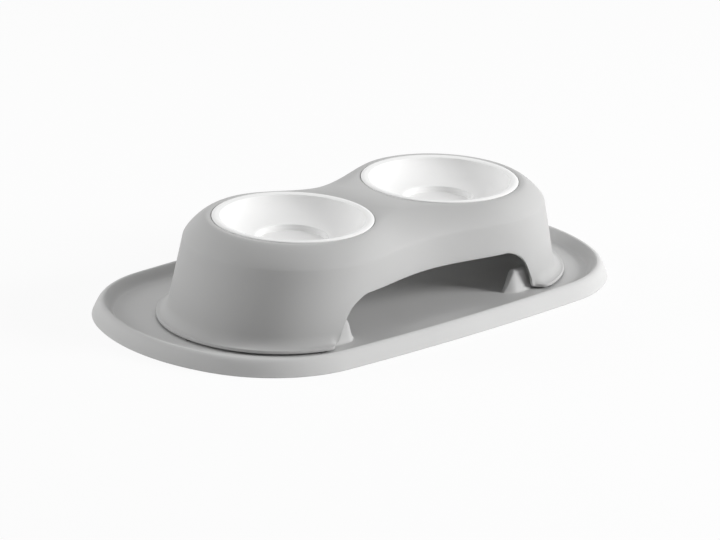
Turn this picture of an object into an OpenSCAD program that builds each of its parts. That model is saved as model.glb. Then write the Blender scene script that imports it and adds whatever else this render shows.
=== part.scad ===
// Raised double pet bowl: two drop-in bowls in a figure-of-eight stand on a rimmed mat.
// X runs along the row of bowls, Y from front to back, Z up. The mat rests on Z = 0 with its
// middle at the origin, and the stand stands nearer the mat's front.

/* [Bowls] */
// Radius of a bowl's rim
rim_r = 69.2; // [66:0.2:73]
// Gap between the two bowls' rims
bowl_gap = 38; // [33:0.5:44]
// Height of the rim's outer edge, level with the deck
rim_edge_h = 3; // [2.4:0.1:4]
// Crown of the rim above its outer edge
rim_crown_h = 1; // [0.5:0.1:2]
// Width of the rim
rim_w = 7; // [6:0.2:8]
// How far the rim reaches out past the bowl's neck
rim_overhang_w = 5.6; // [4.6:0.1:7]
// Depth of the well's edge below the rim's crown
well_edge_depth = 17.4; // [14:0.2:22]
// Radius of the well's edge
well_r = 31; // [28:0.5:34]
// Depth of the well
well_depth = 5.2; // [3:0.2:7]
// Wall thickness of a bowl
bowl_t = 3; // [2:0.1:4]
// Height of the ring that the bowl stands on outside its stand
bowl_foot_h = 2; // [1:0.2:3]

/* [Bowl seats] */
// Radial clearance round the rim
seat_gap = 0.5; // [0.3:0.1:1]
// Radial clearance round the neck
neck_gap = 0.6; // [0.4:0.1:1]
// Thickness of the ledge that carries the rim
ledge_t = 2.6; // [2:0.1:4]
// Margin of flat deck outside a bowl's seat
deck_margin_w = 4; // [3.4:0.1:6]

/* [Stand] */
// Height of the deck above the flange's underside
stand_h = 83; // [76:0.5:92]
// Wall thickness of the moulded shell
wall_t = 2.8; // [2:0.1:4]
// Height of the rounded shoulder below the deck
shoulder_h = 17.5; // [14:0.5:24]
// How far the lobes' walls stand out past the deck, at the shoulder
shoulder_out_w = 16.6; // [12:0.1:20]
// How far the lobes' centres lie out past the bowls' centres, at the shoulder
shoulder_run_w = 3.9; // [0:0.1:8]
// Bend of the shoulder, from 1 for a quarter ellipse to 2 for a straight slope
shoulder_bend = 1.4; // [1:0.05:1.6]
// How far the lobes' walls stand out at the foot, past the shoulder
foot_out_w = 0.6; // [0:0.1:3]
// How far the lobes' centres lie out at the foot, past the shoulder
foot_run_w = 16.8; // [12:0.1:20]
// How far the waist is drawn in from the lobes, at the foot
waist_in_foot_w = 9.4; // [6:0.2:16]
// How far the waist is drawn in from the lobes, at the shoulder
waist_in_shoulder_w = 14; // [10:0.2:20]
// How far the waist is drawn in from the lobes, on the flat deck
waist_in_deck_w = 33; // [20:0.2:34]

/* [Foot flange] */
// How far the flange stands out from the wall
flange_out_w = 8.2; // [7:0.1:12]
// Thickness of the flange
flange_t = 2.8; // [2:0.1:4]
// Rounding of the flange's edge
flange_edge_r = 0.8; // [0.4:0.1:1.2]
// Radius of the concave fillet between flange and wall
foot_fillet_r = 7; // [5:0.1:7.2]

/* [Arches] */
// How far the arches' sides reach out past the lobes' centres
arch_past_w = 6.6; // [2:0.2:10]
// Height of the arches above the flange's underside
arch_h = 38.4; // [38:0.2:44]
// Width of the arches' rounded top corners
arch_corner_w = 33; // [20:0.5:36]
// Height of the arches' rounded top corners
arch_corner_h = 31; // [20:0.5:31]
// Bend of the corners, from 1 for a quarter ellipse to 2 for a straight slope
arch_bend = 1.2; // [1:0.05:1.5]
// Radius by which the arches flare into the flange
arch_flare_r = 7; // [4:0.5:7.2]

/* [Foot pads] */
// Radius of a non-slip pad
pad_r = 4.2; // [3:0.1:4.6]
// Height of a pad, which is the gap under the flange
pad_h = 1.8; // [1:0.1:2.4]
// Angle of the outer pads from the stand's long axis
pad_angle = 73; // [60:1:74]

/* [Mat] */
// Height of the mat's floor above the table
mat_floor_h = 5.2; // [4:0.1:7]
// Height of the rim's crest above the floor
mat_rim_rise_h = 8.8; // [6:0.2:11]
// Width of the rim, from its outer edge to the floor
mat_rim_w = 19; // [17:0.5:24]
// Width of floor between the stand's flange and the rim at the ends
mat_end_floor_w = 21.8; // [12:0.2:30]
// Width of floor between the flange and the rim at the front
mat_front_floor_w = 11.2; // [8:0.2:20]
// Width of floor between the flange and the rim at the back
mat_back_floor_w = 33.8; // [20:0.2:44]
// Radius of the gently bowed long sides
mat_side_r = 2500; // [2000:10:3000]
// Radius of the bowed short ends
mat_end_r = 174; // [164:1:190]
// Radius of the four corners at the outer edge
mat_corner_r = 110; // [90:1:120]
// Distance of the rim's crest from the outer edge
mat_crest_in_w = 9.6; // [8.5:0.1:11]
// Lean of the rim's outer wall
mat_lean_w = 2.2; // [1:0.1:4]
// Height at which the outer wall turns into the rounded crest
mat_wall_h = 5; // [4:0.1:7]
// Wall thickness of the hollow rim
mat_skin_t = 3; // [2:0.1:3.6]

/* [Locating ridges on the mat] */
// Height of a ridge above the floor
ridge_h = 20; // [14:0.5:24]
// Width of a ridge at its foot
ridge_foot_w = 14; // [12:0.5:16]
// Width of a ridge under its rounded top
ridge_top_w = 6.8; // [5:0.2:8]
// Clearance between a ridge's foot and the inside of the stand
ridge_gap = 1.2; // [0.6:0.1:3]
// Length of the slope at each end of a ridge
ridge_slope_length = 13; // [8:1:24]
// Half angle that a ridge turns round its end of the stand
ridge_half_angle = 101; // [90:1:104]

/* [Hidden] */

grey_plastic = [0.72, 0.72, 0.71];
grey_mat = [0.75, 0.75, 0.74];
white_glaze = [0.96, 0.96, 0.95];
pad_grey = [0.35, 0.35, 0.35];

// Overrun of every cut past the face that it opens
cut_over = 2;
// Overlap of one solid into the next where they are fused
weld = 1;

// Steps of the lobe arcs and of the waist curves, and of the rounded sections
arc_steps = 30;
waist_steps = 18;
shoulder_steps = 9;
fillet_steps = 5;
inner_steps = 7;
section_steps = 8;
bow_steps = 9;
ridge_steps = 56;
fine_fn = 144;
quarter_turn = 90;

foot_z = mat_floor_h + pad_h;
flange_top_z = foot_z + flange_t;
deck_z = foot_z + stand_h;
shoulder_z = deck_z - shoulder_h;
seat_z = deck_z - rim_edge_h;
bowl_x = rim_r + bowl_gap / 2;
seat_r = rim_r + seat_gap;
neck_r = rim_r - rim_overhang_w;
neck_hole_r = neck_r + neck_gap;

function mix(a, b, t) = a + (b - a) * t;
function mix3(a, b, t) = [for (i = [0:2]) mix(a[i], b[i], t)];
function grow(o, d) = [o[0], o[1] + d, o[2] + d];

// Outline of the stand: [lobe centre, lobe radius, half width of the waist].
function waist_y(x, o) = o[2] + (o[1] - o[2]) * (1 - cos(180 * x / o[0])) / 2;
function ring(o) = concat(
    [for (i = [0:arc_steps]) let (a = quarter_turn * (2 * i / arc_steps - 1))
        [o[0] + o[1] * cos(a), o[1] * sin(a)]],
    [for (i = [1:waist_steps - 1]) let (x = o[0] * (1 - 2 * i / waist_steps))
        [x, waist_y(x, o)]],
    [for (i = [0:arc_steps]) let (a = quarter_turn * (2 * i / arc_steps + 1))
        [-o[0] + o[1] * cos(a), o[1] * sin(a)]],
    [for (i = [1:waist_steps - 1]) let (x = o[0] * (2 * i / waist_steps - 1))
        [x, -waist_y(x, o)]]);

deck_lobe_r = seat_r + deck_margin_w;
shoulder_lobe_r = deck_lobe_r + shoulder_out_w;
foot_lobe_r = shoulder_lobe_r + foot_out_w;
shoulder_lobe_x = bowl_x + shoulder_run_w;
foot_lobe_x = shoulder_lobe_x + foot_run_w;
deck_outline = [bowl_x, deck_lobe_r, deck_lobe_r - waist_in_deck_w];
shoulder_outline = [shoulder_lobe_x, shoulder_lobe_r, shoulder_lobe_r - waist_in_shoulder_w];
foot_outline = [foot_lobe_x, foot_lobe_r, foot_lobe_r - waist_in_foot_w];
function wall_outline(z) =
    mix3(foot_outline, shoulder_outline, (z - foot_z) / (shoulder_z - foot_z));
// The shoulder bends from the wall at angle 0 to the deck at a quarter turn.
function shoulder_level(a, top_z, d) = let (z = mix(shoulder_z, top_z, pow(sin(a), shoulder_bend)))
    concat([z], grow(mix3(deck_outline, wall_outline(z), pow(cos(a), shoulder_bend)), d));
function fillet_level(a) = let (z = flange_top_z + foot_fillet_r * (1 - cos(a)))
    concat([z], grow(wall_outline(z), foot_fillet_r * (1 - sin(a))));
function flange_level(z, d) = concat([z], grow(wall_outline(z), d));

outer_levels = concat(
    [flange_level(foot_z, flange_out_w - flange_edge_r),
        flange_level(foot_z + flange_edge_r, flange_out_w),
        flange_level(flange_top_z - flange_edge_r, flange_out_w),
        flange_level(flange_top_z, flange_out_w - flange_edge_r)],
    [for (i = [0:fillet_steps]) fillet_level(quarter_turn * i / fillet_steps)],
    [for (i = [0:shoulder_steps])
        shoulder_level(quarter_turn * i / shoulder_steps, deck_z, 0)]);
inner_levels = concat(
    [flange_level(foot_z, -wall_t)],
    [for (i = [0:inner_steps])
        shoulder_level(quarter_turn * i / inner_steps, seat_z - ledge_t, -wall_t)]);

function level_points(l) = [for (p = ring([l[1], l[2], l[3]])) [p[0], p[1], l[0]]];
function flat_points(levels) = [for (l = levels) each level_points(l)];

// Triangles between ring j and the next ring k, each n points long, seen from outside.
function band(j, k, n) = [for (i = [0:n - 1]) let (m = (i + 1) % n)
    each [[j + i, k + m, j + m], [j + i, k + i, k + m]]];

// Triangles that close a flat ring of the stand from first on, in strips from front to back
// and seen from above. Point k lies across the middle line from point arc_steps - k.
function strips(first, n) = [for (k = [arc_steps / 2:(arc_steps + n) / 2 - 1])
    let (a = (arc_steps - k + n) % n, b = (arc_steps - k - 1 + n) % n)
    each concat(
        a == k ? [] : [[first + k, first + a, first + b]],
        b == k + 1 ? [] : [[first + k, first + b, first + k + 1]])];
function flipped(faces) = [for (f = faces) [f[0], f[2], f[1]]];

// Size of the mat, and how far the stand stands in front of the mat's middle.
mat_hl = foot_lobe_x + foot_lobe_r + flange_out_w + mat_end_floor_w + mat_rim_w;
mat_hw = foot_lobe_r + flange_out_w + mat_rim_w + (mat_front_floor_w + mat_back_floor_w) / 2;
stand_y = (mat_front_floor_w - mat_back_floor_w) / 2;
mat_rim_h = mat_floor_h + mat_rim_rise_h;

// Arcs of the mat's outline: circle centres and the angles where the arcs meet.
side_c = [0, mat_hw - mat_side_r];
end_c = [mat_hl - mat_end_r, 0];
side_d = mat_side_r - mat_corner_r;
end_d = mat_end_r - mat_corner_r;
centre_gap = norm(end_c - side_c);
along = (side_d * side_d - end_d * end_d + centre_gap * centre_gap) / (2 * centre_gap);
across = sqrt(side_d * side_d - along * along);
gap_dir = (end_c - side_c) / centre_gap;
corner_c = side_c + along * gap_dir + across * [gap_dir[1], -gap_dir[0]];
side_a = atan2(corner_c[1] - side_c[1], corner_c[0] - side_c[0]);
end_a = atan2(corner_c[1] - end_c[1], corner_c[0] - end_c[0]);

// Section of the mat's edge as distance in from the outer edge and height: up the outside,
// over the crest and down to the floor.
rim_section = concat(
    [[0, 0], [mat_lean_w, mat_wall_h]],
    [for (i = [1:section_steps]) let (a = quarter_turn * i / section_steps)
        [mix(mat_crest_in_w, mat_lean_w, cos(a)), mix(mat_wall_h, mat_rim_h, sin(a))]],
    [for (i = [1:section_steps]) let (s = i / section_steps)
        [mix(mat_crest_in_w, mat_rim_w, s), mix(mat_floor_h, mat_rim_h, (1 + cos(180 * s)) / 2)]]);
// The groove under the rim, from its inner edge back to its outer edge.
groove_top_z = mat_rim_h - mat_skin_t;
groove_section = [
    [mat_rim_w - mat_skin_t / 2, 0],
    [mix(mat_crest_in_w, mat_rim_w, 1 / 3), mix(groove_top_z, mat_floor_h, 1 / 2)],
    [mat_crest_in_w + mat_skin_t / 3, groove_top_z],
    [mat_crest_in_w - mat_skin_t / 2, groove_top_z - mat_skin_t / 6],
    [mat_lean_w + mat_skin_t, mat_wall_h],
    [mat_skin_t, 0]];

// Outline of the mat, inset d from its outer edge.
function arc_points(c, r, a0, a1) = [for (i = [0:bow_steps - 1])
    let (a = mix(a0, a1, i / bow_steps)) [c[0] + r * cos(a), c[1] + r * sin(a)]];
function quarter(d) = concat(
    arc_points(end_c, mat_end_r - d, 0, end_a),
    arc_points(corner_c, mat_corner_r - d, end_a, side_a),
    arc_points(side_c, mat_side_r - d, side_a, quarter_turn));
function mat_outline(d) = let (q = quarter(d), n = len(q)) concat(
    q,
    [[0, mat_hw - d]],
    [for (i = [n - 1:-1:1]) [-q[i][0], q[i][1]]],
    [for (p = q) -p],
    [[0, d - mat_hw]],
    [for (i = [n - 1:-1:1]) [q[i][0], -q[i][1]]]);

// The rings run from the groove over the rim to the floor, and the flat faces close both ends.
module mat_body() {
    section = concat(groove_section, rim_section);
    n = len(mat_outline(0));
    m = len(section);
    polyhedron(
        points = [for (s = section) each [for (p = mat_outline(s[0])) [p[0], p[1], s[1]]]],
        faces = concat(
            [for (j = [0:m - 2]) each band(j * n, (j + 1) * n, n)],
            [[for (i = [n - 1:-1:0]) (m - 1) * n + i]],
            [[for (i = [0:n - 1]) i]]));
}

// Section of a ridge from its inner foot over the top to its outer foot: distance outwards
// from the ridge's middle and height above the floor.
ridge_foot_hw = ridge_foot_w / 2;
ridge_top_hw = ridge_top_w / 2;
ridge_fillet = ridge_foot_hw - ridge_top_hw;
ridge_half = [
    [ridge_foot_hw, -weld],
    [ridge_foot_hw, ridge_fillet / 4],
    [ridge_foot_hw - ridge_fillet / 2, ridge_fillet],
    [ridge_top_hw + ridge_fillet / 6, ridge_h - ridge_top_hw],
    [ridge_top_hw * 3 / 4, ridge_h - ridge_top_hw / 4],
    [0, ridge_h]];
ridge_section = concat(
    [for (p = ridge_half) [-p[0], p[1]]],
    [for (i = [len(ridge_half) - 2:-1:0]) ridge_half[i]]);
ridge_top_z = mat_floor_h + ridge_h;
ridge_x = wall_outline(ridge_top_z)[0];
ridge_path_r = foot_lobe_r - wall_t - ridge_gap - ridge_foot_hw;
ridge_slope_angle = 180 * ridge_slope_length / (PI * ridge_path_r);

// Share of its full height and width that a ridge has, at an angle from its middle.
function ridge_share(a) = let (t = min((ridge_half_angle - abs(a)) / ridge_slope_angle, 1))
    (1 - cos(2 * quarter_turn * t)) / 2;
function ridge_ring(a) = let (s = ridge_share(a)) [for (p = ridge_section)
    let (r = ridge_path_r + p[0] * mix(1 / 2, 1, s))
        [ridge_x + r * cos(a), r * sin(a),
            mat_floor_h + (p[1] > 0 ? mix(-weld / 2, p[1], s) : p[1])]];
// The angles lie closer together on the slopes.
ridge_angles = [for (i = [1:ridge_steps - 1]) let (t = 2 * i / ridge_steps - 1)
    ridge_half_angle * sin(quarter_turn * t)];

module ridge() {
    n = len(ridge_section);
    m = len(ridge_angles);
    polyhedron(
        points = [for (a = ridge_angles) each ridge_ring(a)],
        faces = concat(
            [for (j = [0:m - 2]) each band(j * n, (j + 1) * n, n)],
            [[for (i = [0:n - 1]) i]],
            [[for (i = [n - 1:-1:0]) (m - 1) * n + i]]));
}

module feeding_mat() {
    color(grey_mat) {
        mat_body();
        translate([0, stand_y, 0]) {
            for (s = [0, 180]) {
                rotate(s)
                    ridge();
            }
        }
    }
}

// The rings run up the outside, and the ones of the inside follow from the foot up too.
module stand_shell() {
    n = 2 * arc_steps + 2 * waist_steps;
    no = len(outer_levels);
    ni = len(inner_levels);
    first_in = no * n;
    last_out = (no - 1) * n;
    last_in = (no + ni - 1) * n;
    polyhedron(
        points = flat_points(concat(outer_levels, inner_levels)),
        faces = concat(
            [for (j = [0:no - 2]) each band(j * n, (j + 1) * n, n)],
            [for (j = [no:no + ni - 2]) each band((j + 1) * n, j * n, n)],
            band(first_in, 0, n),
            strips(last_out, n),
            flipped(strips(last_in, n))));
}

// Half of the arch's outline from the foot up to the middle of its top.
arch_foot_x = foot_lobe_x + arch_past_w;
arch_flat_x = arch_foot_x - arch_corner_w;
arch_top_z = foot_z + arch_h;
function arch_half() = concat(
    [[arch_foot_x + arch_flare_r, foot_z - cut_over]],
    [for (i = [0:fillet_steps]) let (a = quarter_turn * i / fillet_steps)
        [arch_foot_x + arch_flare_r * (1 - sin(a)), foot_z + arch_flare_r * (1 - cos(a))]],
    [for (i = [0:section_steps]) let (a = quarter_turn * i / section_steps)
        [arch_flat_x + arch_corner_w * pow(cos(a), arch_bend),
            arch_top_z - arch_corner_h * (1 - pow(sin(a), arch_bend))]]);

module arches() {
    half = arch_half();
    reach = foot_lobe_r + flange_out_w + cut_over;
    translate([0, reach, 0])
        rotate([quarter_turn, 0, 0])
            linear_extrude(2 * reach)
                polygon(concat(half,
                    [for (i = [len(half) - 1:-1:0]) [-half[i][0], half[i][1]]]));
}

module bowl_seat() {
    cylinder(h = rim_edge_h + cut_over, r = seat_r, $fn = fine_fn);
    translate([0, 0, -ledge_t - cut_over])
        cylinder(h = ledge_t + 2 * cut_over, r = neck_hole_r, $fn = fine_fn);
}

module bowl_stand() {
    color(grey_plastic)
        translate([0, stand_y, 0])
            difference() {
                stand_shell();
                arches();
                for (s = [-1, 1]) {
                    translate([s * bowl_x, 0, seat_z])
                        bowl_seat();
                }
            }
}

// Points along a curve that leaves a towards b and arrives at c.
function bend(a, b, c, n) = [for (i = [0:n]) let (t = i / n)
    a * (1 - t) * (1 - t) + b * 2 * t * (1 - t) + c * t * t];

rim_in_r = rim_r - rim_w;
well_edge_z = rim_edge_h + rim_crown_h - well_edge_depth;
well_floor_z = well_edge_z - well_depth;
bowl_bottom_z = well_floor_z - bowl_t;
foot_ring_r = well_r - bowl_t;

function bowl_section() = concat(
    [[0, bowl_bottom_z], [foot_ring_r - bowl_t, bowl_bottom_z],
        [foot_ring_r - bowl_t, bowl_bottom_z - bowl_foot_h],
        [foot_ring_r + bowl_t / 2, bowl_bottom_z - bowl_foot_h]],
    bend([well_r + bowl_t, well_edge_z - bowl_t], [neck_r, well_edge_z - bowl_t],
        [neck_r, -bowl_t], section_steps),
    [[neck_r, 0], [rim_r - rim_crown_h / 2, 0], [rim_r, rim_crown_h / 2]],
    [for (i = [0:section_steps]) let (a = quarter_turn * i / section_steps)
        [rim_r - rim_w / 2 * (1 - cos(a)), rim_edge_h + rim_crown_h * sin(a)]],
    bend([rim_in_r, rim_edge_h], [rim_in_r - rim_w, well_edge_z + bowl_t],
        [well_r + rim_crown_h, well_edge_z], section_steps),
    [[well_r, well_edge_z - rim_crown_h / 2], [well_r - rim_crown_h, well_floor_z + rim_crown_h],
        [well_r - 2 * rim_crown_h, well_floor_z], [0, well_floor_z]]);

module bowl(side) {
    color(white_glaze)
        translate([side * bowl_x, stand_y, seat_z])
            rotate_extrude($fn = fine_fn)
                polygon(bowl_section());
}

module bowl_left() {
    bowl(-1);
}

module bowl_right() {
    bowl(1);
}

// One pad under the flange, at an angle round the centre of a lobe.
module foot_pad(side, angle) {
    pad_path_r = foot_lobe_r + (flange_out_w - wall_t) / 2;
    color(pad_grey)
        translate([side * (foot_lobe_x + pad_path_r * cos(angle)),
            stand_y + pad_path_r * sin(angle), mat_floor_h])
            cylinder(h = pad_h, r = pad_r, $fn = fine_fn);
}

module foot_pad_left_front() {
    foot_pad(-1, -pad_angle);
}

module foot_pad_left_end() {
    foot_pad(-1, 0);
}

module foot_pad_left_back() {
    foot_pad(-1, pad_angle);
}

module foot_pad_right_front() {
    foot_pad(1, -pad_angle);
}

module foot_pad_right_end() {
    foot_pad(1, 0);
}

module foot_pad_right_back() {
    foot_pad(1, pad_angle);
}

feeding_mat();
bowl_stand();
bowl_left();
bowl_right();
foot_pad_left_front();
foot_pad_left_end();
foot_pad_left_back();
foot_pad_right_front();
foot_pad_right_end();
foot_pad_right_back();
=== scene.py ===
"""Raised double pet bowl: drop-in bowls in a moulded stand on a rimmed mat, in a plain studio."""

import logging
import math
from dataclasses import dataclass
from enum import Enum
from typing import Any, Optional, Sequence, Union

import bmesh
import bpy
from mathutils import Matrix, Vector


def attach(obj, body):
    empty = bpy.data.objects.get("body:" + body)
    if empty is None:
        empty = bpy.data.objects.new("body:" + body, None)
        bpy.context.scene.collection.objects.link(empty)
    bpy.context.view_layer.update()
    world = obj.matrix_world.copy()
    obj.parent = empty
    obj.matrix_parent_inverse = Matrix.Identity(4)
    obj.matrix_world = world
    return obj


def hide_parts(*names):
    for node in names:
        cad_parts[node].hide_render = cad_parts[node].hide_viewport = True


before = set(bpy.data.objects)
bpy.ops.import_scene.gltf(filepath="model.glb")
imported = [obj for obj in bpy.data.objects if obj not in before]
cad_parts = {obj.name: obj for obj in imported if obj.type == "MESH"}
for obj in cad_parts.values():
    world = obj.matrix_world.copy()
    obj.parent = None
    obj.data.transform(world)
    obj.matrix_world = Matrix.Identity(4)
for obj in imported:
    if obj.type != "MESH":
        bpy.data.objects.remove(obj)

LOG = logging.getLogger("pet_bowl")
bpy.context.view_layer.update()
STAND_Y = -0.0113
BOWL_X = 0.0882
MAT_FLOOR = 0.0052
PAD_HEIGHT = 0.0018
WELD_DISTANCE = 1e-6
WHITE = (1.0, 1.0, 1.0, 1.0)
OBJECT_PLACE = 3
CAMERA_RAY, GLOSSY_RAY, CLEAR_RAY = 0, 3, 6
Number = Union[int, float]
Colour = tuple[float, float, float, float]
Outline = tuple[float, float, float]
Section = list[tuple[float, float]]


def mix(a: float, b: float, share: float) -> float:
    """Returns the value that lies the given share of the way from a to b."""
    return a + (b - a) * share


def clamp(share: float) -> float:
    """Returns the nearest share from 0 to 1."""
    return min(max(share, 0.0), 1.0)


def ease(share: float) -> float:
    """Returns a share that leaves 0 and arrives at 1 softly."""
    return (1 - math.cos(math.pi * share)) / 2


def bezier(controls: Sequence[Vector], steps: int) -> Section:
    """Makes points on a Bezier curve.

    Args:
        controls: The control points; the curve runs from the first one to the last one.
        steps: The number of steps along the curve.

    Returns:
        The points, both ends included.
    """
    top = len(controls) - 1
    found = []
    for t in (i / steps for i in range(steps + 1)):
        weights = [math.comb(top, k) * t**k * (1 - t) ** (top - k) for k in range(top + 1)]
        place = sum((c * w for c, w in zip(controls, weights)), Vector((0.0, 0.0)))
        found.append((place.x, place.y))
    return found


def quarter_turn(steps: int) -> list[float]:
    """Returns the angles of a quarter turn in radians, from nothing up to a right angle."""
    return [math.pi / 2 * i / steps for i in range(steps + 1)]


class Wire:
    """A shader socket that adds Math nodes where it is used in a sum."""

    def __init__(self, tree: "ShaderTree", socket: Any) -> None:
        """Keeps the socket and its tree.

        Args:
            tree: The tree that the socket is in.
            socket: The output socket.
        """
        self.tree = tree
        self.socket = socket

    def _math(self, operation: str, first: Any, second: Any) -> "Wire":
        """Adds a Math node.

        Args:
            operation: The node's operation.
            first: The first value or wire.
            second: The second value or wire.

        Returns:
            The node's output.
        """
        return self.tree.add("ShaderNodeMath", {"operation": operation}, {0: first, 1: second})[0]

    def __add__(self, other: Any) -> "Wire":
        """Returns this plus the other."""
        return self._math("ADD", self, other)

    def __radd__(self, other: Number) -> "Wire":
        """Returns the other plus this."""
        return self._math("ADD", other, self)

    def __sub__(self, other: Any) -> "Wire":
        """Returns this less the other."""
        return self._math("SUBTRACT", self, other)

    def __rsub__(self, other: Number) -> "Wire":
        """Returns the other less this."""
        return self._math("SUBTRACT", other, self)

    def __mul__(self, other: Any) -> "Wire":
        """Returns this times the other."""
        return self._math("MULTIPLY", self, other)

    def __rmul__(self, other: Number) -> "Wire":
        """Returns the other times this."""
        return self._math("MULTIPLY", other, self)

    def maximum(self, other: Any) -> "Wire":
        """Returns the larger of this and the other."""
        return self._math("MAXIMUM", self, other)


class ShaderTree:
    """The nodes of one material or world."""

    def __init__(self, owner: Any) -> None:
        """Empties the owner's node tree and keeps it.

        Args:
            owner: The material or world.
        """
        owner.use_nodes = True
        self.tree = owner.node_tree
        self.tree.nodes.clear()

    def add(self, kind: str, settings: dict[str, Any], inputs: dict[Any, Any]) -> list[Wire]:
        """Adds a node.

        Args:
            kind: The node's type.
            settings: Its settings, which are set before its sockets.
            inputs: A value or a wire for each named or numbered input.

        Returns:
            The node's outputs, in order.
        """
        node = self.tree.nodes.new(kind)
        for name, value in settings.items():
            if name == "stops":
                self._set_stops(node.color_ramp, value)
            else:
                setattr(node, name, value)
        for name, value in inputs.items():
            if isinstance(value, Wire):
                self.tree.links.new(value.socket, node.inputs[name])
            else:
                node.inputs[name].default_value = value
        return [Wire(self, socket) for socket in node.outputs]

    @staticmethod
    def _set_stops(ramp: Any, stops: Sequence[tuple[float, Colour]]) -> None:
        """Gives a colour ramp its two stops.

        Args:
            ramp: The ramp.
            stops: The place and colour of each stop.
        """
        for element, (place, colour) in zip(ramp.elements, stops):
            element.position = place
            element.color = colour


@dataclass(frozen=True)
class Finish:
    """A moulded surface with a fine texture, slight mottling and soft wear."""

    name: str
    slot: str
    colour: tuple[float, float, float]
    roughness: float
    mottle: float = 0.03
    mottle_scale: float = 14.0
    mottle_detail: float = 4.0
    mottle_range: tuple[float, float] = (0.3, 0.7)
    grain_scale: float = 900.0
    grain_detail: float = 2.0
    grain_roughness: float = 0.6
    grain_depth: float = 0.00002
    roughness_spread: float = 0.06
    coat: float = 0.0
    coat_roughness: float = 0.05
    specular: float = 0.5

    def build(self) -> bpy.types.Material:
        """Makes the material.

        Returns:
            The material with its nodes.
        """
        material = bpy.data.materials.new(self.name)
        tree = ShaderTree(material)
        place = tree.add("ShaderNodeTexCoord", {}, {})[OBJECT_PLACE]
        cloud = tree.add(
            "ShaderNodeTexNoise",
            {},
            {"Vector": place, "Scale": self.mottle_scale, "Detail": self.mottle_detail},
        )[0]
        grain = tree.add(
            "ShaderNodeTexNoise",
            {},
            {
                "Vector": place,
                "Scale": self.grain_scale,
                "Detail": self.grain_detail,
                "Roughness": self.grain_roughness,
            },
        )[0]
        strengths = (1.0 - self.mottle, 1.0 + self.mottle)
        stops = [
            (spot, tuple(min(c * strength, 1.0) for c in self.colour) + (1.0,))
            for spot, strength in zip(self.mottle_range, strengths)
        ]
        tint = tree.add("ShaderNodeValToRGB", {"stops": stops}, {"Fac": cloud})[0]
        rough = self.roughness + (cloud + grain - 1.0) * self.roughness_spread
        normal = tree.add(
            "ShaderNodeBump", {}, {"Strength": 1.0, "Distance": self.grain_depth, "Height": grain}
        )[0]
        shader = tree.add(
            "ShaderNodeBsdfPrincipled",
            {},
            {
                "Base Color": tint,
                "Roughness": rough,
                "Normal": normal,
                "Coat Weight": self.coat,
                "Coat Roughness": self.coat_roughness,
                "Specular IOR Level": self.specular,
            },
        )[0]
        tree.add("ShaderNodeOutputMaterial", {}, {"Surface": shader})
        return material


class Finishes(Enum):
    """The finishes of the set's own pieces."""

    STAND = Finish(
        "matt grey stand", "stand_plastic", (0.48, 0.48, 0.477), 0.5,
        mottle=0.012, grain_scale=1500.0, grain_depth=0.000012,
    )
    MAT = Finish(
        "soft grey mat", "mat_polymer", (0.57, 0.57, 0.567), 0.56,
        mottle=0.015, grain_scale=1200.0, grain_depth=0.000018,
    )
    BOWL = Finish(
        "white bowl gloss", "bowl_white", (0.9, 0.9, 0.895), 0.26,
        mottle=0.006, grain_scale=160.0, grain_depth=0.000004, roughness_spread=0.03, coat=0.3,
        coat_roughness=0.12,
    )
    PAD = Finish(
        "dark pad rubber", "pad_rubber", (0.1, 0.1, 0.1), 0.75,
        mottle=0.08, mottle_scale=300.0, grain_depth=0.00003,
    )


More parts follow.
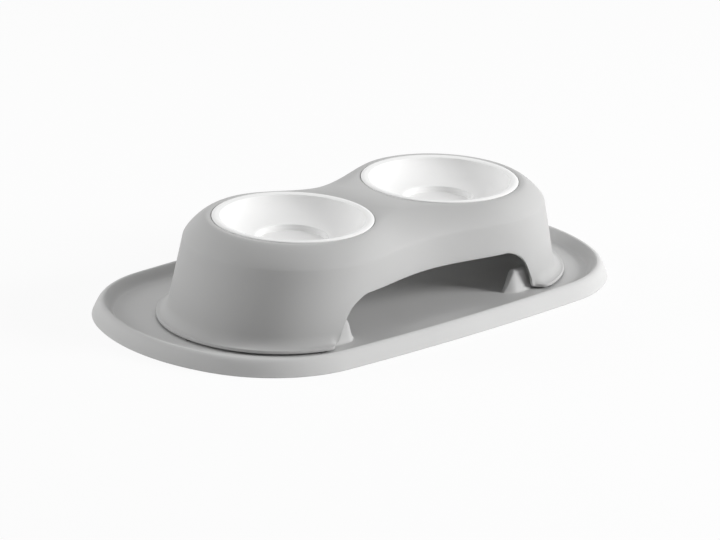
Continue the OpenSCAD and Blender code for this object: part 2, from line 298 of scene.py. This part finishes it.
class Skin:
    """A mesh that grows loop by loop out of closed rings of points."""

    def __init__(self) -> None:
        """Starts an empty mesh."""
        self.mesh = bmesh.new()
        self.column = self.mesh.verts.layers.int.new("column")

    def start(self, ring: Sequence[Vector]) -> list[bmesh.types.BMEdge]:
        """Starts a skin at a ring.

        Args:
            ring: The points of the ring.

        Returns:
            The ring's edges.
        """
        made = bmesh.ops.create_circle(self.mesh, cap_ends=False, segments=len(ring), radius=1.0)
        for index, vert in enumerate(made["verts"]):
            vert[self.column] = index
            vert.co = ring[index]
        return list({edge for vert in made["verts"] for edge in vert.link_edges})

    def grow(
        self, edges: list[bmesh.types.BMEdge], rings: Sequence[Sequence[Vector]]
    ) -> list[bmesh.types.BMEdge]:
        """Extrudes an open loop through further rings.

        Args:
            edges: The edges of the open loop.
            rings: The rings, in order.

        Returns:
            The edges of the last ring.
        """
        for ring in rings:
            made = bmesh.ops.extrude_edge_only(self.mesh, edges=edges)["geom"]
            verts = {item for item in made if isinstance(item, bmesh.types.BMVert)}
            for vert in verts:
                vert.co = ring[vert[self.column]]
            edges = [
                item for item in made
                if isinstance(item, bmesh.types.BMEdge) and verts.issuperset(item.verts)
            ]
        return edges

    def fill(self, *loops: list[bmesh.types.BMEdge]) -> None:
        """Closes a flat face between loops, the inner ones being holes."""
        edges = [edge for loop in loops for edge in loop]
        bmesh.ops.triangle_fill(self.mesh, use_beauty=True, use_dissolve=False, edges=edges)

    def cap(self, loop: list[bmesh.types.BMEdge]) -> None:
        """Closes a flat loop with one face."""
        bmesh.ops.edgeloop_fill(self.mesh, edges=loop)

    def lathe(self, profile: Section, centre: Vector, steps: int) -> None:
        """Spins a profile round an upright axis.

        Args:
            profile: Radius and height of each point; the ends on the axis are closed.
            centre: The place of the axis and of height zero.
            steps: The number of steps of the whole turn.
        """
        start = len(self.mesh.verts)
        verts = [self.mesh.verts.new((centre.x + r, centre.y, centre.z + z)) for r, z in profile]
        edges = [self.mesh.edges.new(pair) for pair in zip(verts, verts[1:])]
        bmesh.ops.spin(
            self.mesh, geom=verts + edges, cent=centre, axis=(0, 0, 1), angle=2 * math.pi,
            steps=steps, use_merge=True, use_duplicate=False,
        )
        self.weld(start)

    def weld(self, start: int = 0) -> None:
        """Merges the points that lie on one another.

        Args:
            start: The number of the first point that may be merged.
        """
        self.mesh.verts.ensure_lookup_table()
        bmesh.ops.remove_doubles(self.mesh, verts=self.mesh.verts[start:], dist=WELD_DISTANCE)

    def finish(
        self, name: str, finish: Finishes, body: str, nodes: Sequence[str], crease: float = 32.0
    ) -> bpy.types.Object:
        """Turns the mesh into a dressed piece that replaces CAD nodes.

        Args:
            name: The piece's name.
            finish: The finish that it gets.
            body: The body that it rides on.
            nodes: The CAD nodes that it stands for.
            crease: The angle in degrees from which an edge stays sharp.

        Returns:
            The piece.
        """
        bmesh.ops.recalc_face_normals(self.mesh, faces=self.mesh.faces)
        for face in self.mesh.faces:
            face.smooth = True
        for edge in self.mesh.edges:
            edge.smooth = edge.is_manifold and edge.calc_face_angle(0.0) < math.radians(crease)
        data = bpy.data.meshes.new(name)
        self.mesh.to_mesh(data)
        self.mesh.free()
        piece = bpy.data.objects.new(name, data)
        bpy.context.scene.collection.objects.link(piece)
        data.materials.append(finish.value.build())
        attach(piece, body)
        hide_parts(*nodes)
        LOG.info("%s: %d faces", name, len(data.polygons))
        return piece


@dataclass
class FeedingMat:
    """The rimmed mat with the ridges that keep the stand in its place."""

    half_length: float = 0.2488
    half_width: float = 0.1406
    side_radius: float = 2.5
    end_radius: float = 0.174
    corner_radius: float = 0.110
    floor_height: float = MAT_FLOOR
    rim_height: float = 0.0140
    rim_width: float = 0.019
    crest_inset: float = 0.0096
    wall_lean: float = 0.0022
    wall_height: float = 0.005
    bead_pull: float = 1.2
    bead_shoulder: float = 0.0046
    skin_thickness: float = 0.003
    foot_round: float = 0.0008
    foot_steps: int = 3
    ridge_centre: float = 0.10423
    ridge_radius: float = 0.0799
    ridge_half_angle: float = 101.0
    ridge_slope: float = 0.0135
    ridge_ease: float = 1.15
    ridge_height: float = 0.020
    ridge_foot: float = 0.0085
    ridge_top: float = 0.0034
    ridge_top_turn: float = 80.0
    ridge_root: float = 0.001
    ridge_end_share: float = 0.5
    ridge_top_steps: int = 8
    ridge_side_steps: int = 12
    ridge_steps: int = 150
    section_steps: int = 20
    bow_steps: int = 40

    def _circles(self) -> tuple[Vector, Vector, Vector]:
        """Returns the centres of the side, end and corner circles of one quarter."""
        side = Vector((0.0, self.half_width - self.side_radius))
        end = Vector((self.half_length - self.end_radius, 0.0))
        side_run = self.side_radius - self.corner_radius
        end_run = self.end_radius - self.corner_radius
        gap = end - side
        along = (side_run**2 - end_run**2 + gap.length_squared) / (2 * gap.length)
        across = math.sqrt(side_run**2 - along**2)
        way = gap.normalized()
        return side, end, side + along * way + across * Vector((way.y, -way.x))

    def outline(self, inset: float, height: float) -> list[Vector]:
        """Makes one ring of the mat.

        Args:
            inset: The distance in from the outer edge.
            height: The height above the table.

        Returns:
            The ring's points, anticlockwise from the right end.
        """
        side, end, corner = self._circles()
        side_angle = math.atan2(corner.y - side.y, corner.x - side.x)
        end_angle = math.atan2(corner.y - end.y, corner.x - end.x)
        arcs = [
            (end, self.end_radius, 0.0, end_angle),
            (corner, self.corner_radius, end_angle, side_angle),
            (side, self.side_radius, side_angle, math.pi / 2),
        ]
        quarter = [
            centre + (radius - inset) * Vector((math.cos(a), math.sin(a)))
            for centre, radius, first, last in arcs
            for a in (mix(first, last, i / self.bow_steps) for i in range(self.bow_steps))
        ]
        top = Vector((0.0, self.half_width - inset))
        half = quarter + [top] + [Vector((-p.x, p.y)) for p in reversed(quarter[1:])]
        return [Vector((s * p.x, s * p.y, height)) for s in (1, -1) for p in half]

    def groove(self) -> Section:
        """Returns inset and height of each ring of the groove under the rim, from inside out."""
        top = self.rim_height - self.skin_thickness
        middle = mix(self.crest_inset, self.rim_width, 1 / 3)
        return [
            (self.rim_width - self.skin_thickness / 2, 0.0),
            (middle, (top + self.floor_height) / 2),
            (self.crest_inset + self.skin_thickness / 3, top),
            (self.crest_inset - self.skin_thickness / 2, top - self.skin_thickness / 6),
            (self.wall_lean + self.skin_thickness, self.wall_height),
            (self.skin_thickness, 0.0),
        ]

    def section(self) -> Section:
        """Returns inset and height of each ring, from the outer foot over the rim to the floor."""
        points = [
            (self.foot_round * (1 - math.sin(a)), self.foot_round * (1 - math.cos(a)))
            for a in quarter_turn(self.foot_steps)
        ]
        start = Vector(points[-1])
        lean = Vector((self.wall_lean, self.wall_height)) * self.bead_pull
        side = Vector((self.bead_shoulder, self.rim_height))
        crest = Vector((self.crest_inset, self.rim_height))
        points += bezier((start, start + lean, side, crest), self.section_steps)[1:]
        points += [
            (
                mix(self.crest_inset, self.rim_width, s),
                mix(self.rim_height, self.floor_height, ease(s)),
            )
            for s in (i / self.section_steps for i in range(1, self.section_steps + 1))
        ]
        return points

    def _ridge_profile(self) -> Section:
        """Returns distance outwards and height of the ridge's section, from foot to foot."""
        turn = math.radians(self.ridge_top_turn)
        half = [
            (self.ridge_top * math.sin(a), self.ridge_height - self.ridge_top * (1 - math.cos(a)))
            for a in (turn * i / self.ridge_top_steps for i in range(self.ridge_top_steps + 1))
        ]
        start = Vector(half[-1])
        end = Vector((self.ridge_foot, 0.0))
        bend = Vector((start.x + (self.ridge_foot - self.ridge_top) / 3, 0.0))
        half += bezier((start, bend, end), self.ridge_side_steps)[1:]
        half.append((self.ridge_foot, -self.ridge_root))
        return [(-d, h) for d, h in reversed(half[1:])] + half

    def _ridge_ring(self, side: int, angle: float) -> list[Vector]:
        """Makes the ridge's section at an angle round its end of the stand.

        Args:
            side: 1 for the right end and -1 for the left one.
            angle: The angle in degrees from the end's middle.

        Returns:
            The section's points.
        """
        slope = math.degrees(self.ridge_slope / self.ridge_radius)
        share = ease(clamp((self.ridge_half_angle - abs(angle)) / slope) ** self.ridge_ease)
        turn = math.radians(angle)
        ring = []
        for distance, height in self._ridge_profile():
            reach = self.ridge_radius + distance * mix(self.ridge_end_share, 1.0, share)
            lift = height if height < 0 else mix(-self.ridge_root / 2, height, share)
            ring.append(Vector((
                side * (self.ridge_centre + reach * math.cos(turn)),
                STAND_Y + side * reach * math.sin(turn),
                self.floor_height + lift,
            )))
        return ring

    def _add_ridge(self, skin: Skin, side: int) -> None:
        """Adds one ridge as sections along its path.

        Args:
            skin: The mat's skin.
            side: 1 for the right end and -1 for the left one.
        """
        shares = (2 * i / self.ridge_steps - 1 for i in range(1, self.ridge_steps))
        angles = [self.ridge_half_angle * math.sin(math.pi / 2 * t) for t in shares]
        rings = [self._ridge_ring(side, a) for a in angles]
        first = skin.start(rings[0])
        last = skin.grow(first, rings[1:])
        skin.cap(first)
        skin.cap(last)

    def build(self) -> None:
        """Builds the mat and dresses it."""
        skin = Skin()
        section = self.groove() + self.section()
        rings = [self.outline(inset, height) for inset, height in section]
        underside = skin.start(rings[0])
        floor = skin.grow(underside, rings[1:])
        skin.cap(underside)
        skin.cap(floor)
        for side in (-1, 1):
            self._add_ridge(skin, side)
        skin.finish("mat_shell", Finishes.MAT, "mat", ["feeding_mat"])


@dataclass
class StandColumn:
    """One upright line of the stand's skin, at a place round its plan.

    A column of a lobe has a side and an angle. One above an arch has a face, its run at the arch,
    its run at the shoulder as its spread, and a lip, which is a point of the arch's outline and
    the direction away from the opening. The flange is a share of its full reach.
    """

    side: int = 0
    angle: float = 0.0
    flange: float = 1.0
    run: float = 0.0
    spread: float = 0.0
    face: int = 0
    lip: Optional[tuple[Vector, Vector]] = None


@dataclass
class BowlStand:
    """The moulded stand with its round shoulder, foot flange, arches and bowl seats."""

    floor_height: float = MAT_FLOOR
    pad_height: float = PAD_HEIGHT
    deck_height: float = 0.090
    wall: float = 0.0028
    foot: Outline = (0.1089, 0.0909, 0.0815)
    shoulder: Outline = (0.0921, 0.0903, 0.0763)
    deck: Outline = (0.0882, 0.0737, 0.0407)
    shoulder_drop: float = 0.0175
    shoulder_bend: float = 1.4
    flange_out: float = 0.0082
    flange_thickness: float = 0.0028
    flange_edge: float = 0.0008
    flange_corner: float = 0.010
    fillet: float = 0.007
    fillet_height: float = 0.009
    arch_half_width: float = 0.1155
    arch_top: float = 0.0454
    arch_corner_width: float = 0.033
    arch_corner_height: float = 0.031
    arch_bend: float = 1.2
    arch_flare: float = 0.007
    lip_radius: float = 0.0011
    lip_blend: float = 0.006
    bowl_x: float = BOWL_X
    seat_radius: float = 0.0697
    neck_radius: float = 0.0642
    seat_depth: float = 0.003
    ledge: float = 0.0026
    hole_round: float = 0.0004
    hole_bevel: float = 0.3
    arc_step: float = 0.0025
    arch_step: float = 0.0015
    flare_steps: int = 12
    corner_steps: int = 32
    shoulder_steps: int = 14
    wall_steps: int = 8
    fillet_steps: int = 8
    round_steps: int = 4
    inner_steps: int = 8
    seat_steps: int = 144

    @property
    def foot_z(self) -> float:
        """Returns the height of the flange's underside."""
        return self.floor_height + self.pad_height

    @property
    def shoulder_z(self) -> float:
        """Returns the height at which the wall turns into the shoulder."""
        return self.deck_height - self.shoulder_drop

    def wall_outline(self, z: float) -> Outline:
        """Returns lobe centre, lobe radius and waist half width of the wall at a height."""
        share = (z - self.foot_z) / (self.shoulder_z - self.foot_z)
        return tuple(mix(a, b, share) for a, b in zip(self.foot, self.shoulder))

    def shoulder_level(self, lift: float, top: float) -> tuple[Outline, float]:
        """Returns outline and height on the shoulder.

        Args:
            lift: The angle on the shoulder, from 0 at the wall to a right angle at the deck.
            top: The height at which the shoulder ends.

        Returns:
            The outline and the height.
        """
        z = mix(self.shoulder_z, top, math.sin(lift) ** self.shoulder_bend)
        share = max(math.cos(lift), 0.0) ** self.shoulder_bend
        wall = self.wall_outline(z)
        return tuple(mix(a, b, share) for a, b in zip(self.deck, wall)), z

    def point(self, column: StandColumn, outline: Outline, out: float, z: float) -> Vector:
        """Places a point of a column.

        Args:
            column: The column.
            outline: Lobe centre, lobe radius and waist half width.
            out: The distance outwards from the outline.
            z: The height.

        Returns:
            The point.
        """
        centre, radius, waist = outline
        if not column.face:
            x = centre + (radius + out) * math.cos(column.angle)
            y = (radius + out) * math.sin(column.angle)
            return Vector((column.side * x, STAND_Y + y, z))
        run = self._run_above(column, z)
        past = abs(run) - 1.0
        if past > 0.0:
            turn = past * math.pi / 2
            x = math.copysign(centre + (radius + out) * math.sin(turn), run)
            y = (radius + out) * math.cos(turn)
        else:
            x = centre * run
            y = waist + out + (radius - waist) * ease(run)
        return Vector((x, STAND_Y + column.face * y, z))

    def wall_point(self, column: StandColumn, out: float, z: float) -> Vector:
        """Places a point of a column at a distance outwards from the wall and at a height."""
        return self.point(column, self.wall_outline(z), out, z)

    def _lip_height(self, column: StandColumn) -> float:
        """Returns the height at which a column's wall turns into the arch's rounded edge."""
        here, normal = column.lip
        return here.y + normal.y * self.lip_radius

    def _run_above(self, column: StandColumn, z: float) -> float:
        """Returns a column's run at a height, which goes from its lip's to an even spread."""
        if not column.lip:
            return column.run
        start = self._lip_height(column)
        share = (z - start) / (self.shoulder_z - start)
        return mix(column.run, column.spread, clamp(share))

    def run_at(self, x: float, z: float) -> float:
        """Returns the run of the wall's column through a place.

        Args:
            x: The place along the row of bowls.
            z: The height.

        Returns:
            The share of the way to the lobe's centre, and past 1 the share of its quarter turn.
        """
        centre, radius, _ = self.wall_outline(z)
        if abs(x) <= centre:
            return x / centre
        return math.copysign(1.0 + math.asin((abs(x) - centre) / radius) * 2 / math.pi, x)

    def _arch_outline(self) -> list[Vector]:
        """Returns the arch's outline in X and Z, from the left foot over the top to the right."""
        flat_x = self.arch_half_width - self.arch_corner_width
        half = [
            Vector((
                self.arch_half_width + self.arch_flare * (1 - math.sin(a)),
                self.foot_z + self.arch_flare * (1 - math.cos(a)),
            ))
            for a in quarter_turn(self.flare_steps)
        ]
        half += [
            Vector((
                flat_x + self.arch_corner_width * max(math.cos(a), 0.0) ** self.arch_bend,
                self.arch_top - self.arch_corner_height * (1 - math.sin(a) ** self.arch_bend),
            ))
            for a in quarter_turn(self.corner_steps)
        ]
        half.append(Vector((0.0, self.arch_top)))
        points = [half[0]]
        for a, b in zip(half, half[1:]):
            count = max(1, round((b - a).length / self.arch_step))
            points += [a.lerp(b, i / count) for i in range(1, count + 1)]
        return [Vector((-p.x, p.y)) for p in points] + points[-2::-1]

    def _arch_columns(self, face: int) -> list[StandColumn]:
        """Makes the columns that end at the arch on one face.

        Args:
            face: -1 for the front and 1 for the back.

        Returns:
            The columns from left to right.
        """
        outline = self._arch_outline()
        found = []
        for index, here in enumerate(outline):
            before = outline[max(index - 1, 0)]
            after = outline[min(index + 1, len(outline) - 1)]
            along = (after - before).normalized()
            normal = Vector((-along.y, along.x))
            start = here + normal * self.lip_radius
            run = self.run_at(start.x, start.y)
            flange = self._flange_share(abs(here.x))
            found.append(StandColumn(run=run, face=face, flange=flange, lip=(here, normal)))
        widest = found[-1].run
        for index, column in enumerate(found):
            column.spread = widest * (2 * index / (len(found) - 1) - 1)
        return found

    def _flange_share(self, distance: float) -> float:
        """Returns how far the flange stands out, as a share.

        Args:
            distance: The distance from the stand's middle, along X as far as the arch's foot
                and along the wall from there.

        Returns:
            The share, which rises smoothly from the middle of the arch's flare.
        """
        start = self.arch_half_width + self.arch_flare / 2
        return ease(clamp((distance - start) / self.flange_corner))

    def _lobe_columns(self, side: int) -> list[StandColumn]:
        """Makes the columns of one end, between the two arches.

        Args:
            side: 1 for the right end and -1 for the left one.

        Returns:
            The columns, anticlockwise as seen from above.
        """
        centre, radius, _ = self.foot
        lap = self.arch_half_width + self.arch_flare
        half = math.pi / 2 - math.asin((lap - centre) / radius)
        steps = math.ceil(half * radius / self.arc_step)
        found = []
        for i in range(1 - steps, steps):
            flange = self._flange_share(lap + half * radius * (1 - abs(i) / steps))
            found.append(StandColumn(side=side, angle=side * half * i / steps, flange=flange))
        return found

    def _columns(self) -> list[StandColumn]:
        """Returns the columns round the whole plan, anticlockwise from the right end's front."""
        back = self._arch_columns(1)[::-1]
        return self._lobe_columns(1) + back + self._lobe_columns(-1) + self._arch_columns(-1)

    def _flange_section(self) -> Section:
        """Returns height and stand-out of the foot's fillet and of the flange's upper edge."""
        top = self.foot_z + self.flange_thickness
        rows = [
            (top + self.fillet_height * (1 - math.sin(a)), self.fillet * (1 - math.cos(a)))
            for a in quarter_turn(self.fillet_steps)
        ]
        reach, edge = self.flange_out, self.flange_edge
        rows.append((top, (self.fillet + reach - edge) / 2))
        rows += [
            (top - edge * (1 - math.cos(a)), reach - edge * (1 - math.sin(a)))
            for a in quarter_turn(self.round_steps)
        ]
        return rows

    @staticmethod
    def _cut(section: Section, low: float, bottom: float) -> Section:
        """Cuts the flange's section off at a height.

        Args:
            section: Height and stand-out of each row, downwards from the wall.
            low: The height of the row before them, on the wall.
            bottom: The height of the cut.

        Returns:
            The rows, with those below the cut drawn up to it.
        """
        above, above_out = low, 0.0
        stop = (low, 0.0)
        rows = []
        for z, out in section:
            if z > bottom:
                stop = (z, out)
            elif above > bottom:
                stop = (bottom, mix(above_out, out, (above - bottom) / (above - z)))
            above, above_out = min(z, above), out
            rows.append(stop)
        return rows

    def _lower(self, column: StandColumn) -> list[Vector]:
        """Makes the lower end of a column, from the wall over its foot to the inside.

        Args:
            column: The column.

        Returns:
            The points, the same number for a lobe's foot as for the arch's lip.
        """
        section = self._flange_section()
        low, bottom = section[0][0], section[-1][0]
        radius = self.flange_edge
        if column.lip:
            bottom = self._lip_height(column)
            low = max(low, bottom + self.lip_blend)
            radius = self.lip_radius
        shares = [(i + 1) / self.wall_steps for i in range(self.wall_steps)]
        rows = [self.wall_point(column, 0.0, mix(self.shoulder_z, low, share)) for share in shares]
        cut = self._cut(section[1:], low, bottom)
        rows += [self.wall_point(column, column.flange * out, z) for z, out in cut]
        reach = column.flange * cut[-1][1]
        quarter = quarter_turn(self.round_steps)
        turns = [(1 - math.sin(a), radius * (1 - math.cos(a))) for a in quarter]
        rows += [self._edge_point(column, share, reach - inset) for share, inset in turns]
        turns.reverse()
        rows += [self._edge_point(column, share, inset - self.wall) for share, inset in turns]
        return rows

    def _edge_point(self, column: StandColumn, share: float, out: float) -> Vector:
        """Places a point on the rounded edge of the flange or of the arch.

        Args:
            column: The column.
            share: The distance from the foot or from the arch as a share of the edge's radius.
            out: The distance outwards from the wall.

        Returns:
            The point.
        """
        if not column.lip:
            return self.wall_point(column, out, self.foot_z + self.flange_edge * share)
        here, normal = column.lip
        place = here + normal * self.lip_radius * share
        moved = StandColumn(run=self.run_at(place.x, place.y), face=column.face)
        return self.wall_point(moved, out, place.y)

    def _column_points(self, column: StandColumn) -> list[Vector]:
        """Makes a whole column, from the deck down the outside and up the inside.

        Args:
            column: The column.

        Returns:
            Its points.
        """
        rows = []
        for a in reversed(quarter_turn(self.shoulder_steps)):
            outline, z = self.shoulder_level(a, self.deck_height)
            rows.append(self.point(column, outline, 0.0, z))
        rows += self._lower(column)
        bottom = rows[-1].z
        for i in range(1, self.inner_steps):
            z = mix(bottom, self.shoulder_z, i / self.inner_steps)
            rows.append(self.wall_point(column, -self.wall, z))
        under = self.deck_height - self.seat_depth - self.ledge
        for a in quarter_turn(self.inner_steps):
            outline, z = self.shoulder_level(a, under)
            rows.append(self.point(column, outline, -self.wall, z))
        return rows

    def _seat(self, skin: Skin, x: float) -> tuple[list, list]:
        """Adds the stepped seat of one bowl.

        Args:
            skin: The stand's skin.
            x: The place of the bowl's axis.

        Returns:
            The edges of the seat's loops on top of the deck and under it.
        """
        top = self.deck_height
        ledge = top - self.seat_depth
        bevel = self.hole_bevel * self.hole_round
        sections = [
            (self.seat_radius + self.hole_round, top),
            (self.seat_radius + bevel, top - bevel),
            (self.seat_radius, top - self.hole_round),
            (self.seat_radius, ledge),
            (self.neck_radius, ledge),
            (self.neck_radius, ledge - self.ledge),
        ]
        rings = [
            [
                Vector((x + r * math.cos(a), STAND_Y + r * math.sin(a), z))
                for a in (2 * math.pi * i / self.seat_steps for i in range(self.seat_steps))
            ]
            for r, z in sections
        ]
        upper = skin.start(rings[0])
        return upper, skin.grow(upper, rings[1:])

    def build(self) -> None:
        """Builds the stand and dresses it."""
        lines = [self._column_points(column) for column in self._columns()]
        rings = [list(ring) for ring in zip(*lines)]
        skin = Skin()
        deck = skin.start(rings[0])
        inside = skin.grow(deck, rings[1:])
        seats = [self._seat(skin, x) for x in (-self.bowl_x, self.bowl_x)]
        skin.fill(deck, *[seat[0] for seat in seats])
        skin.fill(inside, *[seat[1] for seat in seats])
        skin.weld()
        skin.finish("stand_shell", Finishes.STAND, "stand", ["bowl_stand"], crease=40.0)


@dataclass
class PetBowl:
    """One white drop-in bowl with a crowned rim and a stepped well."""

    name: str
    body: str
    node: str
    x: float
    seat_height: float = 0.087
    rim_radius: float = 0.0692
    rim_edge: float = 0.003
    rim_crown: float = 0.001
    rim_width: float = 0.007
    edge_depth: float = 0.0174
    well_radius: float = 0.031
    well_depth: float = 0.0052
    wall: float = 0.003
    neck_radius: float = 0.0636
    foot_height: float = 0.002
    outer_steps: int = 12
    crown_steps: int = 12
    inner_steps: int = 24
    steps: int = 192

    def profile(self) -> Section:
        """Returns radius and height of the bowl's section, from the underside's middle up."""
        edge = self.rim_edge + self.rim_crown - self.edge_depth
        floor = edge - self.well_depth
        bottom = floor - self.wall
        ring = self.well_radius - self.wall
        half = self.rim_crown / 2
        points = [
            (0.0, bottom),
            (ring - self.wall, bottom),
            (ring - self.wall, bottom - self.foot_height),
            (ring + self.wall / 2, bottom - self.foot_height),
        ]
        outer = [
            (self.well_radius + self.wall, edge - self.wall),
            (self.neck_radius, edge - self.wall),
            (self.neck_radius, -self.wall),
        ]
        points += bezier([Vector(p) for p in outer], self.outer_steps)
        points += [
            (self.neck_radius, 0.0),
            (self.rim_radius - half, 0.0),
            (self.rim_radius, half),
        ]
        points += [
            (
                self.rim_radius - self.rim_width / 2 * (1 - math.cos(a)),
                self.rim_edge + self.rim_crown * math.sin(a),
            )
            for a in quarter_turn(self.crown_steps)
        ]
        mouth = self.rim_radius - self.rim_width
        inner = [
            (mouth, self.rim_edge),
            (mouth - self.rim_width, edge + self.wall),
            (self.well_radius + self.rim_crown, edge),
        ]
        points += bezier([Vector(p) for p in inner], self.inner_steps)
        points += [
            (self.well_radius, edge - half),
            (self.well_radius - self.rim_crown, floor + self.rim_crown),
            (self.well_radius - 2 * self.rim_crown, floor),
            (0.0, floor),
        ]
        return points

    def build(self) -> None:
        """Builds the bowl and dresses it."""
        skin = Skin()
        skin.lathe(self.profile(), Vector((self.x, STAND_Y, self.seat_height)), self.steps)
        skin.finish(self.name, Finishes.BOWL, self.body, [self.node])


@dataclass
class FootPads:
    """The non-slip pads under the stand's flange."""

    radius: float = 0.0042
    height: float = PAD_HEIGHT
    edge: float = 0.0003
    floor_height: float = MAT_FLOOR
    lobe_centre: float = 0.1089
    path_radius: float = 0.0936
    angle: float = 73.0
    steps: int = 48

    def build(self) -> None:
        """Builds and dresses the pads under both ends."""
        profile = [
            (0.0, 0.0),
            (self.radius - self.edge, 0.0),
            (self.radius, self.edge),
            (self.radius, self.height),
            (0.0, self.height),
        ]
        places = (("front", -self.angle), ("end", 0.0), ("back", self.angle))
        for side, word in ((-1, "left"), (1, "right")):
            for name, angle in places:
                turn = math.radians(angle)
                centre = Vector((
                    side * (self.lobe_centre + self.path_radius * math.cos(turn)),
                    STAND_Y + self.path_radius * math.sin(turn),
                    self.floor_height,
                ))
                skin = Skin()
                skin.lathe(profile, centre, self.steps)
                skin.finish(
                    f"pad_{word}_{name}", Finishes.PAD, "stand", [f"foot_pad_{word}_{name}"]
                )


@dataclass(frozen=True)
class Lamp:
    """A square soft lamp that faces the object and isn't seen in the gloss."""

    name: str
    place: tuple[float, float, float]
    power: float
    size: float
    target: tuple[float, float, float] = (0.0, 0.0, 0.04)

    def build(self) -> None:
        """Adds the lamp."""
        data = bpy.data.lights.new(self.name, "AREA")
        data.energy = self.power
        data.size = self.size
        lamp = bpy.data.objects.new(self.name, data)
        lamp.location = self.place
        lamp.visible_glossy = False
        way = Vector(self.target) - lamp.location
        lamp.rotation_euler = way.to_track_quat("-Z", "Y").to_euler()
        bpy.context.scene.collection.objects.link(lamp)


@dataclass
class Studio:
    """The floor, the sky, the lamps and the camera."""

    floor_size: float = 6.0
    floor_colour: Colour = (0.86, 0.86, 0.86, 1.0)
    floor_white: float = 0.9
    ambient: float = 0.27
    azimuth: float = -44.837
    elevation: float = 18.784
    roll: float = 2.168
    lens: float = 203.45
    sensor: float = 36.0
    unit: float = 0.072
    aim: tuple[float, float, float] = (0.0, -0.01127, 0.00704)
    shift: tuple[float, float] = (-0.049, 0.222)
    distance: float = 49.043
    clip_end: float = 50.0
    lamps: tuple[Lamp, ...] = (
        Lamp("key", (1.75, -1.9, 1.05), 74.0, 1.0),
        Lamp("left", (-1.5, 1.9, 0.8), 26.0, 1.0),
        Lamp("top", (0.2, 0.6, 2.6), 14.0, 1.2),
    )

    def _floor(self) -> None:
        """Makes the pale floor, which looks white to the camera but keeps the shadow."""
        mesh = bmesh.new()
        bmesh.ops.create_grid(mesh, x_segments=1, y_segments=1, size=self.floor_size / 2)
        data = bpy.data.meshes.new("floor")
        mesh.to_mesh(data)
        mesh.free()
        floor = bpy.data.objects.new("floor", data)
        bpy.context.scene.collection.objects.link(floor)
        material = bpy.data.materials.new("pale floor")
        tree = ShaderTree(material)
        seen = tree.add("ShaderNodeLightPath", {}, {})[CAMERA_RAY]
        matt = tree.add(
            "ShaderNodeBsdfDiffuse", {}, {"Color": self.floor_colour, "Roughness": 0.0}
        )[0]
        glow = tree.add("ShaderNodeEmission", {}, {"Color": WHITE, "Strength": 1.0})[0]
        mixed = tree.add(
            "ShaderNodeMixShader", {}, {0: seen * self.floor_white, 1: matt, 2: glow}
        )[0]
        tree.add("ShaderNodeOutputMaterial", {}, {"Surface": mixed})
        data.materials.append(material)

    def _world(self) -> None:
        """Makes an even soft sky, which the camera, a gloss or a clear piece sees as white."""
        world = bpy.data.worlds.new("soft studio")
        bpy.context.scene.world = world
        tree = ShaderTree(world)
        path = tree.add("ShaderNodeLightPath", {}, {})
        seen = path[CAMERA_RAY].maximum(path[GLOSSY_RAY]).maximum(path[CLEAR_RAY])
        strength = seen * (1.0 - self.ambient) + self.ambient
        sky = tree.add("ShaderNodeBackground", {}, {"Color": WHITE, "Strength": strength})[0]
        tree.add("ShaderNodeOutputWorld", {}, {"Surface": sky})

    def _camera(self) -> None:
        """Sets the camera at the photograph's viewing angle."""
        az, el, roll = (math.radians(a) for a in (self.azimuth, self.elevation, self.roll))
        back = Vector((math.sin(az) * math.cos(el), -math.cos(az) * math.cos(el), math.sin(el)))
        right = Vector((math.cos(az), math.sin(az), 0.0))
        up = back.cross(right)
        right_rolled = math.cos(roll) * right + math.sin(roll) * up
        up_rolled = -math.sin(roll) * right + math.cos(roll) * up
        data = bpy.data.cameras.new("view")
        data.lens = self.lens
        data.sensor_width = self.sensor
        data.clip_end = self.clip_end
        camera = bpy.data.objects.new("view", data)
        bpy.context.scene.collection.objects.link(camera)
        place = self.shift[0] * right_rolled + self.shift[1] * up_rolled + self.distance * back
        turn = Matrix((right_rolled, up_rolled, back)).transposed().to_4x4()
        camera.matrix_world = Matrix.Translation(place * self.unit + Vector(self.aim)) @ turn
        bpy.context.scene.camera = camera

    def build(self) -> None:
        """Builds the studio."""
        self._camera()
        self._floor()
        self._world()
        for lamp in self.lamps:
            lamp.build()
        bpy.context.scene.view_settings.view_transform = "Standard"


def main() -> None:
    """Builds the studio and the set."""
    logging.basicConfig(level=logging.INFO, format="%(message)s")
    Studio().build()
    FeedingMat().build()
    BowlStand().build()
    PetBowl("bowl_left_shell", "left_bowl", "bowl_left", -BOWL_X).build()
    PetBowl("bowl_right_shell", "right_bowl", "bowl_right", BOWL_X).build()
    FootPads().build()


if __name__ == "__main__":
    main()
